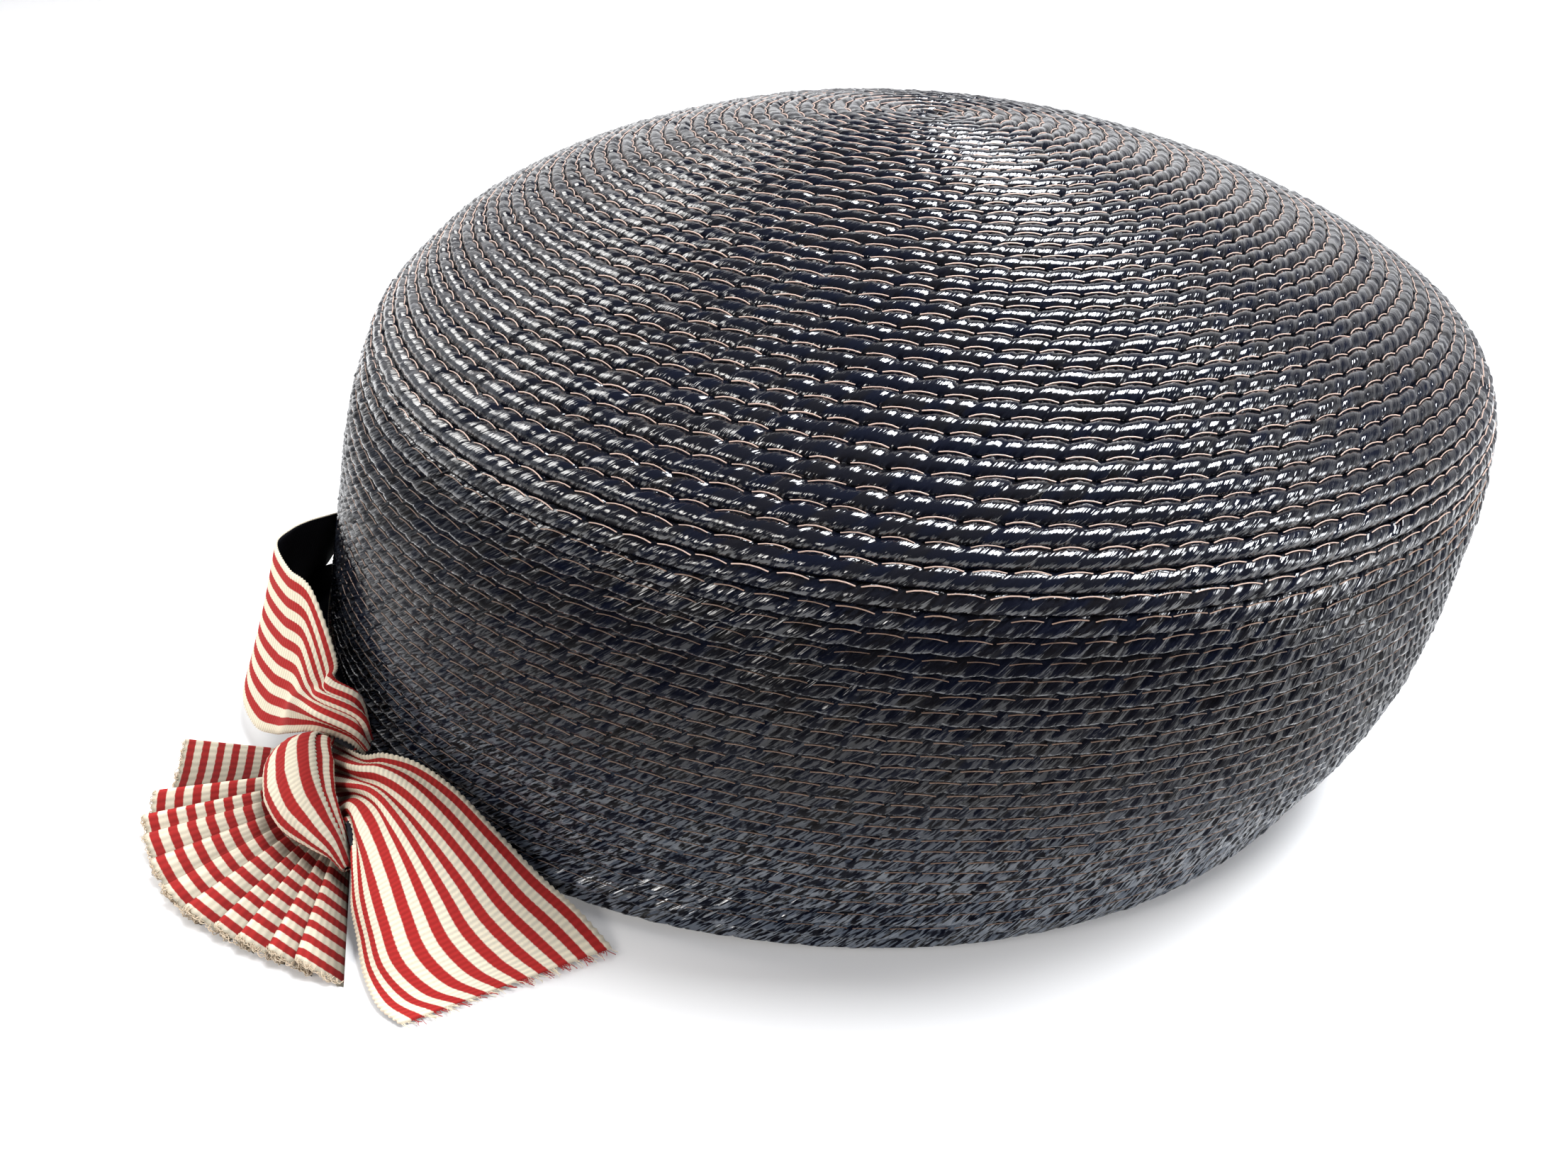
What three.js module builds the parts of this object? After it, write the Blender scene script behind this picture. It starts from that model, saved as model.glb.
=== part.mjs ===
// Straw toque: a hollow crown sewn from one long plait, with a ribbon bow
// and a knife-pleated ribbon fan at its left side.
// Millimetres, +Z up. The rim rests on z = 0. The bow is towards -X and -Y.
import * as THREE from 'three';

// ---- driving sizes ----
const strawWall = 2.0;          // thickness of the sewn plait
const rimLip = 12;              // how far the rim turns in under the crown
const ribbonThickness = 1.0;    // double-faced ribbon
const aroundCrown = 64;         // faces round the crown
const crownSteps = 26;          // rings from the tip to the rim
const hatShift = [11.2, 7.74];  // puts the origin under the middle of the whole hat

// Crown sections: height, half length along X, half width along Y, and how far
// the section's centre lies along X. The lower crown swells towards the bow.
const crownSections = [
  { z: 125.6, halfX: 0, halfY: 0, shift: -1 },
  { z: 126.2, halfX: 16, halfY: 16, shift: -1 },
  { z: 124.6, halfX: 34, halfY: 33, shift: -1 },
  { z: 120.2, halfX: 55, halfY: 53.5, shift: 0 },
  { z: 114.2, halfX: 74, halfY: 73, shift: 1 },
  { z: 107, halfX: 90.5, halfY: 91, shift: 2 },
  { z: 100, halfX: 102.5, halfY: 106, shift: 3 },
  { z: 94, halfX: 109, halfY: 117, shift: 3 },
  { z: 87, halfX: 114, halfY: 124, shift: 1.5 },
  { z: 77, halfX: 117, halfY: 126.5, shift: 0 },
  { z: 64, halfX: 119.5, halfY: 125.5, shift: -2 },
  { z: 48, halfX: 122, halfY: 121.5, shift: -4 },
  { z: 32, halfX: 123.5, halfY: 117, shift: -7 },
  { z: 15, halfX: 122.5, halfY: 113.5, shift: -12 },
  { z: 0, halfX: 119.5, halfY: 111.5, shift: -19 },
];

// Ribbon strips are given by sections along their length. Each row holds the
// lower and upper edge, the depth of the small gathers and the belly between them.
const loopSections = [
  { lower: [-93.6, -95, 15.5], upper: [-95, -91, 18], gather: 0.8, belly: 0 },
  { lower: [-97.3, -94.3, 17.5], upper: [-98, -88.5, 22.5], gather: 1.3, belly: 0.5 },
  { lower: [-103, -92.5, 17.6], upper: [-101, -85.5, 31], gather: 1, belly: 1.5 },
  { lower: [-110.6, -88.8, 14.3], upper: [-104, -81.5, 39.5], gather: 0.6, belly: 2 },
  { lower: [-118.5, -84.3, 9], upper: [-109, -77.5, 40.7], gather: 0.2, belly: 2 },
  { lower: [-126.5, -78.5, 5.4], upper: [-117, -71.5, 41.2], gather: 0, belly: 1.5 },
  { lower: [-134.4, -69, 5.4], upper: [-124.4, -62.5, 41.2], gather: 0, belly: 0.5 },
  { lower: [-139, -55, 6.5], upper: [-124.6, -56, 41.2], gather: 0, belly: 0 },
  { lower: [-140, -42, 8.5], upper: [-122.8, -51.5, 41.2], gather: 0, belly: 0 },
  { lower: [-138.5, -31, 12], upper: [-119.4, -48.5, 40.6], gather: 0, belly: 0 },
  { lower: [-136.8, -23, 15.5], upper: [-120.8, -44, 39], gather: 0, belly: 0 },
];
const tailSections = [
  { lower: [-87.8, -112, 14.8], upper: [-91, -99.5, 20], gather: 1.2, belly: 0 },
  { lower: [-84.8, -117, 14], upper: [-86, -99.8, 21.5], gather: 1.6, belly: 1 },
  { lower: [-83, -121.5, 11], upper: [-79, -100.6, 21], gather: 1.2, belly: 2 },
  { lower: [-81.1, -126, 8.5], upper: [-70.5, -104, 19], gather: 0.6, belly: 2 },
  { lower: [-78.3, -130.8, 5.5], upper: [-61.4, -108.7, 15], gather: 0.3, belly: 1.5 },
  { lower: [-75, -136.3, 3.5], upper: [-53, -111.2, 8.5], gather: 0.1, belly: 1 },
  { lower: [-71.2, -139.8, 1.8], upper: [-45, -113.7, 3.8], gather: 0, belly: 0.3 },
  { lower: [-66.4, -142, 0.9], upper: [-37, -118.8, 1], gather: 0, belly: 0 },
];
const backTailSections = [
  { lower: [-101, -85, 6], upper: [-99, -83, 14], gather: 0.4, belly: 0 },
  { lower: [-113, -76, 3], upper: [-106.9, -73.2, 15], gather: 0.4, belly: 0 },
  { lower: [-127, -62, 2], upper: [-118.6, -57.4, 17], gather: 0.4, belly: 0 },
  { lower: [-134, -48, 2], upper: [-126.3, -43.6, 17.5], gather: 0.4, belly: 0 },
  { lower: [-137.5, -34, 2], upper: [-131.6, -32, 17.5], gather: 0.4, belly: 0 },
  { lower: [-139, -25, 2], upper: [-134.8, -24, 14], gather: 0.4, belly: 0 },
];
const ribbonFolds = 3;          // small gathers across a strip

// Knot sections run from its top, under the loop, to its narrow lower end.
const knotSections = [
  { centre: [-101.4, -93.9, 17], halfWidth: 5.5, halfDepth: 0.8 },
  { centre: [-103, -99.5, 17.2], halfWidth: 9, halfDepth: 2.6 },
  { centre: [-101.5, -104.5, 16.2], halfWidth: 9.5, halfDepth: 3.8 },
  { centre: [-97.5, -109, 14.4], halfWidth: 8.2, halfDepth: 3.4 },
  { centre: [-92.8, -112.8, 12.6], halfWidth: 5.2, halfDepth: 2.6 },
  { centre: [-89.3, -115, 11], halfWidth: 2.4, halfDepth: 1.6 },
];
const knotOutward = [-0.35, -0.65, 0.67];   // the way the knot faces
const knotRibs = 6;                         // ribbon folds over the knot

// The fan is pleated between an inner edge, gathered behind the knot, and an
// outer edge that comes down to the table. Rows run round the fan.
const fanSections = [
  { inner: [-99.2, -92.6, 13], outer: [-134.6, -89.4, 8] },
  { inner: [-99, -94.5, 12], outer: [-133.4, -97.5, 5] },
  { inner: [-98.5, -97, 11], outer: [-132.7, -107.5, 2.3] },
  { inner: [-97.5, -99.5, 10], outer: [-125.8, -117.2, 2.2] },
  { inner: [-96.5, -101.5, 9], outer: [-115.8, -125.8, 2.2] },
  { inner: [-95, -103.5, 8.5], outer: [-103.2, -131, 2.2] },
  { inner: [-93, -105.5, 8], outer: [-91.7, -134, 2.2] },
  { inner: [-91, -107, 7.5], outer: [-79.5, -136.5, 2.2] },
];
const fanPleats = 12;
const fanPleatDepth = 2.4;
const fanLongFace = 0.72;       // the upper face's share of a pleat

// ---- shared geometry helpers ----
const vec = (p) => new THREE.Vector3(...p);

function smoothTable(rows, key) {           // one smooth curve through a column of points
  return new THREE.CatmullRomCurve3(rows.map((row) => vec(row[key])), false, 'centripetal');
}

function mixRows(rows, key, t) {            // straight run between neighbouring rows
  const place = t * (rows.length - 1);
  const index = Math.min(Math.floor(place), rows.length - 2);
  return THREE.MathUtils.lerp(rows[index][key], rows[index + 1][key], place - index);
}

function meshFrom(name, points, faces, colour, roughness) {
  const geometry = new THREE.BufferGeometry();
  geometry.setAttribute('position', new THREE.Float32BufferAttribute(points.flatMap((p) => [p.x, p.y, p.z]), 3));
  geometry.setIndex(faces.flat());
  geometry.computeVertexNormals();
  const material = new THREE.MeshStandardMaterial({ color: colour, roughness, metalness: 0 });
  const mesh = new THREE.Mesh(geometry, material);
  mesh.name = name;
  return mesh;
}

// Faces between rings of equal count; the first and last rings are closed by a cap point.
function facesBetweenRings(ringCount, around) {
  const faces = [];
  for (let r = 0; r < ringCount - 1; r += 1) {
    for (let k = 0; k < around; k += 1) {
      const a = r * around + k;
      const b = r * around + ((k + 1) % around);
      faces.push([a, a + around, b], [b, a + around, b + around]);
    }
  }
  return faces;
}

function closeWithCaps(faces, points, ringCount, around, firstCap, lastCap) {
  const first = points.push(firstCap) - 1;
  const last = points.push(lastCap) - 1;
  const start = (ringCount - 1) * around;
  for (let k = 0; k < around; k += 1) {
    const next = (k + 1) % around;
    faces.push([first, k, next], [last, start + next, start + k]);
  }
}

// A thin closed sheet: grid points, thickened half each way along the grid's normals.
function sheetSolid(name, rows, thickness, colour, roughness) {
  const long = rows.length;
  const wide = rows[0].length;
  const at = (i, j) => rows[THREE.MathUtils.clamp(i, 0, long - 1)][THREE.MathUtils.clamp(j, 0, wide - 1)];
  const points = [];
  for (const side of [0.5, -0.5]) {
    for (let i = 0; i < long; i += 1) {
      for (let j = 0; j < wide; j += 1) {
        const along = at(i + 1, j).clone().sub(at(i - 1, j));
        const across = at(i, j + 1).clone().sub(at(i, j - 1));
        const normal = along.cross(across).normalize();
        points.push(at(i, j).clone().addScaledVector(normal, side * thickness));
      }
    }
  }
  const back = long * wide;
  const faces = [];
  const quad = (a, b, c, d) => faces.push([a, b, c], [a, c, d]);
  for (let i = 0; i < long - 1; i += 1) {
    for (let j = 0; j < wide - 1; j += 1) {
      const a = i * wide + j;
      quad(a, a + wide, a + wide + 1, a + 1);
      quad(back + a, back + a + 1, back + a + wide + 1, back + a + wide);
    }
  }
  for (let i = 0; i < long - 1; i += 1) {
    const near = i * wide;
    const far = near + wide - 1;
    quad(near, back + near, back + near + wide, near + wide);
    quad(far, far + wide, back + far + wide, back + far);
  }
  const end = (long - 1) * wide;
  for (let j = 0; j < wide - 1; j += 1) {
    quad(j, j + 1, back + j + 1, back + j);
    quad(end + j, back + end + j, back + end + j + 1, end + j + 1);
  }
  return meshFrom(name, points, faces, colour, roughness);
}

// ---- the pieces ----
function crownPoint(t, angle) {             // t runs from the tip, 0, to the rim, 1
  const x = crownCurves.halfX.getPoint(t);
  const y = crownCurves.halfY.getPoint(t);
  return new THREE.Vector3(x.z + x.x * Math.cos(angle), y.x * Math.sin(angle), x.y);
}

function sectionCurve(half) {               // half size, height and shift as one smooth curve
  const points = crownSections.map((row) => new THREE.Vector3(row[half], row.z, row.shift));
  return new THREE.CatmullRomCurve3(points, false, 'centripetal');
}
const crownCurves = { halfX: sectionCurve('halfX'), halfY: sectionCurve('halfY') };

function crownNormal(t, angle) {
  const small = 1e-3;
  const down = crownPoint(Math.min(t + small, 1), angle).sub(crownPoint(Math.max(t - small, 0), angle));
  const round = crownPoint(t, angle + small).sub(crownPoint(t, angle - small));
  return down.cross(round).normalize();     // points out of the crown
}

function makeCrown() {
  const points = [];
  const tip = crownPoint(0, 0);
  let rings = 0;
  const addRing = (place) => {
    for (let k = 0; k < aroundCrown; k += 1) points.push(place((2 * Math.PI * k) / aroundCrown));
    rings += 1;
  };
  for (let i = 1; i <= crownSteps; i += 1) addRing((angle) => crownPoint(i / crownSteps, angle));
  const rim = crownSections.at(-1);
  const lipRing = (turnIn, z) => addRing((angle) => new THREE.Vector3(
    rim.shift + (rim.halfX - turnIn) * Math.cos(angle),
    (rim.halfY - turnIn) * Math.sin(angle),
    z,
  ));
  lipRing(rimLip, 0);
  lipRing(rimLip, strawWall);
  lipRing(strawWall * 1.2, strawWall);
  for (let i = crownSteps - 2; i >= 1; i -= 1) {
    addRing((angle) => {
      const t = i / crownSteps;
      return crownPoint(t, angle).addScaledVector(crownNormal(t, angle), -strawWall);
    });
  }
  const faces = facesBetweenRings(rings, aroundCrown);
  const innerTip = tip.clone();
  innerTip.z -= strawWall;
  closeWithCaps(faces, points, rings, aroundCrown, tip, innerTip);
  return meshFrom('crown', points, faces, 0x15171d, 0.3);
}

function makeRibbon(name, sections, lengthSteps, widthSteps) {
  const lower = smoothTable(sections, 'lower');
  const upper = smoothTable(sections, 'upper');
  const grid = [];
  for (let i = 0; i <= lengthSteps; i += 1) {
    const t = i / lengthSteps;
    const edge = lower.getPoint(t);
    const across = upper.getPoint(t).sub(edge);
    const along = lower.getTangent(t).add(upper.getTangent(t));
    const out = along.cross(across).normalize();
    const row = [];
    for (let j = 0; j <= widthSteps; j += 1) {
      const v = j / widthSteps;
      const fold = mixRows(sections, 'gather', t) * Math.sin(2 * Math.PI * ribbonFolds * v);
      const belly = mixRows(sections, 'belly', t) * Math.sin(Math.PI * v);
      row.push(edge.clone().addScaledVector(across, v).addScaledVector(out, fold + belly));
    }
    grid.push(row);
  }
  return sheetSolid(name, grid, ribbonThickness, 0xd8c9b0, 0.8);
}

function makeKnot(lengthSteps, around) {
  const path = smoothTable(knotSections, 'centre');
  const outward = vec(knotOutward).normalize();
  const points = [];
  for (let i = 0; i <= lengthSteps; i += 1) {
    const t = i / lengthSteps;
    const along = path.getTangent(t);
    const across = outward.clone().cross(along).normalize();
    const face = along.clone().cross(across);
    for (let k = 0; k < around; k += 1) {
      const angle = (2 * Math.PI * k) / around;
      const rib = 1 + 0.05 * Math.cos(knotRibs * 2 * angle);
      points.push(path.getPoint(t)
        .addScaledVector(across, -mixRows(knotSections, 'halfWidth', t) * Math.cos(angle))
        .addScaledVector(face, mixRows(knotSections, 'halfDepth', t) * rib * Math.sin(angle)));
    }
  }
  const faces = facesBetweenRings(lengthSteps + 1, around);
  closeWithCaps(faces, points, lengthSteps + 1, around, path.getPoint(0), path.getPoint(1));
  return meshFrom('bow_knot', points, faces, 0xb03a34, 0.8);
}

function makeFan(ringSteps) {
  const inner = smoothTable(fanSections, 'inner');
  const outer = smoothTable(fanSections, 'outer');
  const pleatLine = (share, lift) => {      // one fold line, from the inner to the outer edge
    const start = inner.getPoint(share);
    const run = outer.getPoint(share).sub(start);
    const up = run.clone().cross(outer.getTangent(share)).normalize();
    const line = [];
    for (let r = 0; r <= ringSteps; r += 1) {
      const depth = fanPleatDepth * lift * (0.4 + 0.6 * (r / ringSteps));
      line.push(start.clone().addScaledVector(run, r / ringSteps).addScaledVector(up, depth));
    }
    return line;
  };
  const grid = [];
  for (let p = 0; p < fanPleats; p += 1) {
    grid.push(pleatLine(p / fanPleats, -0.5), pleatLine((p + fanLongFace) / fanPleats, 0.5));
  }
  grid.push(pleatLine(1, -0.5));
  return sheetSolid('pleated_fan', grid, ribbonThickness, 0xc9b79c, 0.8);
}

const hat = new THREE.Group();
hat.add(makeCrown());
hat.add(makeRibbon('bow_loop', loopSections, 30, 12));
hat.add(makeRibbon('bow_tail', tailSections, 22, 16));
hat.add(makeRibbon('bow_back_tail', backTailSections, 6, 6));
hat.add(makeKnot(16, 24));
hat.add(makeFan(4));
hat.position.set(hatShift[0], hatShift[1], 0);

export default hat;
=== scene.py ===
# Straw toque with a ribbon bow and a pleated ribbon fan.
import math

import bpy
import numpy as np
from mathutils import Matrix, Vector


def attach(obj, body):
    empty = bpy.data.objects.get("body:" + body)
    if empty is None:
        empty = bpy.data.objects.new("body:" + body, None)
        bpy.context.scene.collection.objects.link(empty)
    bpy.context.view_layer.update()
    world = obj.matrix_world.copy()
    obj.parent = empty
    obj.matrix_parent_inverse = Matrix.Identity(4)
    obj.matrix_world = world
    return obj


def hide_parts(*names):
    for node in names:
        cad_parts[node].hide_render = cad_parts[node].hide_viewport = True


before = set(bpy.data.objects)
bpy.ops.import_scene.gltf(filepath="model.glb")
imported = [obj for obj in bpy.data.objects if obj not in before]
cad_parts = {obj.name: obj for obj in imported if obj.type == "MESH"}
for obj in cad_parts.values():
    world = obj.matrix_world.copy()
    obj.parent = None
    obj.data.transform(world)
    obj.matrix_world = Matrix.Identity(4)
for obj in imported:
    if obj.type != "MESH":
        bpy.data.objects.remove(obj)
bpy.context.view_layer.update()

mm = 0.001
hatShift = np.array([11.2, 7.74, 0.0])      # from the crown's own axis to the hat's origin, mm


# small helpers for points and curves, all in millimetres

def unit(vectors):
    return vectors / np.maximum(np.linalg.norm(vectors, axis=-1, keepdims=True), 1e-12)


def smoothThrough(places, values, at):      # a smooth curve through (place, value) pairs
    places = np.asarray(places, float)
    values = np.asarray(values, float)
    step = np.diff(places)
    slope = np.diff(values) / step
    inner = (slope[:-1] * step[1:] + slope[1:] * step[:-1]) / (step[1:] + step[:-1])
    tangent = np.concatenate([[slope[0]], inner, [slope[-1]]])
    k = np.clip(np.searchsorted(places, at, side="right") - 1, 0, len(step) - 1)
    t = np.clip((at - places[k]) / step[k], 0, 1)
    h = step[k]
    return ((2 * t**3 - 3 * t**2 + 1) * values[k] + (t**3 - 2 * t**2 + t) * h * tangent[k]
            + (3 * t**2 - 2 * t**3) * values[k + 1] + (t**3 - t**2) * h * tangent[k + 1])


def meshPiece(name, points, faces, materials, faceMaterial=None, uv=None, fields=None):
    # points in mm about the crown's axis; faces are rows of four corners
    mesh = bpy.data.meshes.new(name)
    points = ((points.reshape(-1, 3) + hatShift) * mm).astype(np.float32)
    faces = np.asarray(faces, np.int32)
    mesh.vertices.add(len(points))
    mesh.vertices.foreach_set("co", points.ravel())
    mesh.loops.add(faces.size)
    mesh.loops.foreach_set("vertex_index", faces.ravel())
    mesh.polygons.add(len(faces))
    mesh.polygons.foreach_set("loop_start", np.arange(len(faces), dtype=np.int32) * faces.shape[1])
    mesh.polygons.foreach_set("loop_total", np.full(len(faces), faces.shape[1], np.int32))
    if faceMaterial is not None:
        mesh.polygons.foreach_set("material_index", np.asarray(faceMaterial, np.int32))
    mesh.update(calc_edges=True)
    mesh.shade_smooth()
    if uv is not None:
        layer = mesh.uv_layers.new(name="UVMap")
        layer.data.foreach_set("uv", uv.reshape(-1, 2)[faces.ravel()].astype(np.float32).ravel())
    for key, values in (fields or {}).items():
        field = mesh.attributes.new(key, "FLOAT", "POINT")
        field.data.foreach_set("value", values.astype(np.float32).ravel())
    for material in materials:
        mesh.materials.append(material)
    piece = bpy.data.objects.new(name, mesh)
    bpy.context.scene.collection.objects.link(piece)
    return piece


# the crown: one long plait sewn in a spiral from the tip down to the rim and in under it

crownShape = {
    "rowWidth": 3.2,            # visible width of one row of plait
    "cellLength": 3.0,          # one crossing of the plait; two of them to a stitch
    "cellSlant": 3.2,           # how far a crossing leans over one row
    "lipWidth": 12.0,           # how far the rim turns in
    "lipHeight": 0.95,          # middle of the turned-in rim above the table
    "sideFrom": 125,            # slope length at which the rounded top rows start to flatten
    "sideOver": 14,             # and how far down they take
    "lowFrom": 168,             # slope length at which the glossier lower rows, with painted reflection in their colour, start
    "lowOver": 44,
    "pieces": 5,
    "seed": 27,
}

# height, half length along X, half width along Y, shift of the centre along X
crownSections = [
    (125.6, 0, 0, -1), (126.2, 16, 16, -1), (124.6, 34, 33, -1), (120.2, 55, 53.5, 0),
    (114.2, 74, 73, 1), (107, 90.5, 91, 2), (100, 102.5, 106, 3), (94, 109, 117, 3),
    (87, 114, 124, 1.5), (77, 117, 126.5, 0), (64, 119.5, 125.5, -2), (48, 122, 121.5, -4),
    (32, 123.5, 117, -7), (15, 122.5, 113.5, -12), (1.6, 119.7, 111.7, -18.5),
]

# across one row, from the edge tucked under the row before to the edge that laps the next, in mm:
# place along the row's width, height on the rounded top rows, height on the flatter side rows,
# share of the stitch's bulge
rowProfile = np.array([
    (-0.75, -0.90, -0.88, 0.2),
    (0.38, 0.05, -0.48, 1.0),
    (1.10, 0.52, -0.14, 1.0),
    (2.05, 0.46, 0.32, 0.8),
    (2.62, 0.08, 0.58, 0.5),
    (2.95, -0.28, 0.54, 0.3),
    (3.12, -0.52, 0.24, 0.2),
    (3.02, -0.72, -0.12, 0.1),
])
# how far each of those places sways with the stitches, and how glossy it is, on the top and on the side
rowScallop = np.array([0.6, 0.8, 0.25, 0, 0.08, 0.12, 0.15, 0.15])
sideScallop = np.array([0, 0, 0, 0.1, 0.7, 1, 1, 1])
topGloss = np.array([1, 1, 1, 1, 0.6, 0.35, 0.3, 0.3])
rowGloss = np.array([0.0, 0.03, 0.15, 0.16, 0.12, 1.0, 1.0, 0.3])


def crownTables():                          # the crown's sections as smooth columns of its slope length
    rows = list(crownSections)
    z, halfX, halfY, shift = rows[-1]
    for inset in (2.2, 6.0, crownShape["lipWidth"]):
        rows.append((crownShape["lipHeight"], halfX - inset, halfY - inset, shift))
    rows = np.array(rows, float)
    mean = (rows[:, 1] + rows[:, 2]) / 2
    chord = np.concatenate([[0], np.cumsum(np.hypot(np.diff(mean), np.diff(rows[:, 0])))])
    at = np.linspace(0, chord[-1], 6000)
    fine = np.stack([smoothThrough(chord, rows[:, k], at) for k in range(4)], 1)
    mean = (fine[:, 1] + fine[:, 2]) / 2
    slope = np.concatenate([[0], np.cumsum(np.hypot(np.diff(mean), np.diff(fine[:, 0])))])
    return slope, fine


crownSlope, crownFine = crownTables()


def crownAt(slope, angle):                  # a point of the crown's surface
    z, halfX, halfY, shift = (np.interp(slope, crownSlope, crownFine[:, k]) for k in range(4))
    return np.stack([shift + halfX * np.cos(angle), halfY * np.sin(angle), z], -1)


def crownFrame(slope, angle):               # point, direction down the slope, direction round, outward
    step = 0.8
    low = np.clip(slope + step, 0, crownSlope[-1])
    high = np.clip(slope - step, 0.05, crownSlope[-1] - 0.1)
    down = unit(crownAt(low, angle) - crownAt(high, angle))
    level = np.maximum(slope, 0.5)
    around = unit(crownAt(level, angle + 0.01) - crownAt(level, angle - 0.01))
    out = unit(np.cross(down, around))
    return crownAt(np.maximum(slope, 0), angle), down, around, out


def spiralTable():                          # turns of the spiral against length of plait
    turns = np.linspace(0.15, (crownSlope[-1] - 0.4) / crownShape["rowWidth"] - 1, 72 * 500)
    path = crownAt(turns * crownShape["rowWidth"] + 1.6, turns * 2 * np.pi)
    length = np.concatenate([[0], np.cumsum(np.linalg.norm(np.diff(path, axis=0), axis=1))])
    return length, turns


plaitLength, plaitTurns = spiralTable()


def plaitPoint(length, across):             # on the crown, at a length of plait and a place across it
    turns = np.interp(length, plaitLength, plaitTurns)
    return crownFrame(turns * crownShape["rowWidth"] + across, turns * 2 * np.pi)


def sideShare(slope):                       # 0 on the rounded top rows, 1 on the flat side rows
    return np.clip((slope - crownShape["sideFrom"]) / crownShape["sideOver"], 0, 1)


def lowShare(slope):                        # 0 on the upper side rows, 1 near the rim
    return np.clip((slope - crownShape["lowFrom"]) / crownShape["lowOver"], 0, 1)


def plaitCells():                           # where each crossing of the plait starts, and what varies
    dice = np.random.default_rng(crownShape["seed"])
    count = int(plaitLength[-1] / crownShape["cellLength"]) - 2
    count -= count % 2
    wobble = dice.normal(0, 0.12, count)
    start = (np.arange(count) + 0.5) * crownShape["cellLength"] + wobble
    return {
        "start": start,
        "rise": dice.normal(0, 0.05, count),
        "lean": dice.normal(0, 0.15, count),
        "roll": dice.normal(0, 0.11, count),
        "tone": dice.random(count),
    }


def makePlait(cells, first, last, name, material):
    stations = np.array([0.0, 0.16, 0.84])
    valley = np.array([1.0, 0.0, 0.0])
    index = np.arange(first, last)
    share = np.tile(stations, len(index))
    cell = np.repeat(index, len(stations))
    dent = np.tile(valley, len(index))
    long = cells["start"][cell] + share * crownShape["cellLength"]
    across, top, side, bulge = rowProfile.T
    slant = crownShape["cellSlant"] * (0.5 - across / crownShape["rowWidth"])
    length = long[:, None] + slant[None, :] * np.where(across > 2.95, 0.8, 1)[None, :]
    turns = np.interp(length, plaitLength, plaitTurns)
    flat = sideShare(turns * crownShape["rowWidth"])
    stitch = np.pi * ((cell % 2 + share) / 2)[:, None]
    arch = np.sin(stitch)
    scallop = (0.42 * flat * sideScallop - (0.42 - 0.30 * flat) * rowScallop) * (arch - 0.5)
    place = across[None, :] + scallop
    point, _, _, out = plaitPoint(length, place)
    height = top * (1 - flat) + side * flat
    height = height + (0.26 - 0.20 * flat) * (arch - 0.55) * bulge
    height = height - (0.15 + 0.13 * flat) * dent[:, None] * np.minimum(bulge + 0.2, 1)
    lean = (cells["lean"][cell] * (share - 0.5))[:, None] * (1 + 1.3 * flat)
    height = height + (cells["rise"][cell][:, None] + lean) * bulge
    roll = cells["roll"][cell][:, None] * (1 + 0.6 * flat)
    height = height + roll * (across - 1.4)[None, :] * 0.5 * bulge
    points = point + out * height[..., None]
    rows, width = points.shape[:2]
    a = (np.arange(rows - 1)[:, None] * width + np.arange(width)[None, :]).ravel()
    b = (np.arange(rows - 1)[:, None] * width + (np.arange(width) + 1)[None, :] % width).ravel()
    faces = np.stack([a, a + width, b + width, b], 1)
    half = np.arange(width // 2 - 1)
    cap = np.stack([half, half + 1, width - 2 - half, width - 1 - half], 1)
    faces = np.vstack([faces, cap, (cap + (rows - 1) * width)[:, ::-1]])
    uv = np.stack([np.broadcast_to((cell + share)[:, None], (rows, width)),
                   np.broadcast_to(across[None, :] / crownShape["rowWidth"], (rows, width))], -1)
    tone = np.repeat(cells["tone"][cell], width)
    shine = tone.reshape(rows, width)
    lowness = lowShare(turns * crownShape["rowWidth"])
    low = lowness * np.where(shine > 0.3, 0.35 + 0.45 * shine, 0.10)
    sideGloss = np.maximum(rowGloss, low * np.minimum(rowGloss * 7, 1))
    gloss = topGloss * (1 - flat) + sideGloss * flat
    # the third field marks where a reflection of the pale table is painted into the colour of the low
    # rows
    fields = {"cellTone": tone, "gloss": gloss, "paintedReflection": flat * lowness}
    return meshPiece(name, points, faces, [material], uv=uv, fields=fields)


# the sewing thread: one flat arc for each stitch, lying in the groove on the tip side of its row

threadShape = {"length": 5.1, "radius": 0.14, "bulge": 0.9, "seed": 5}


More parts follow.
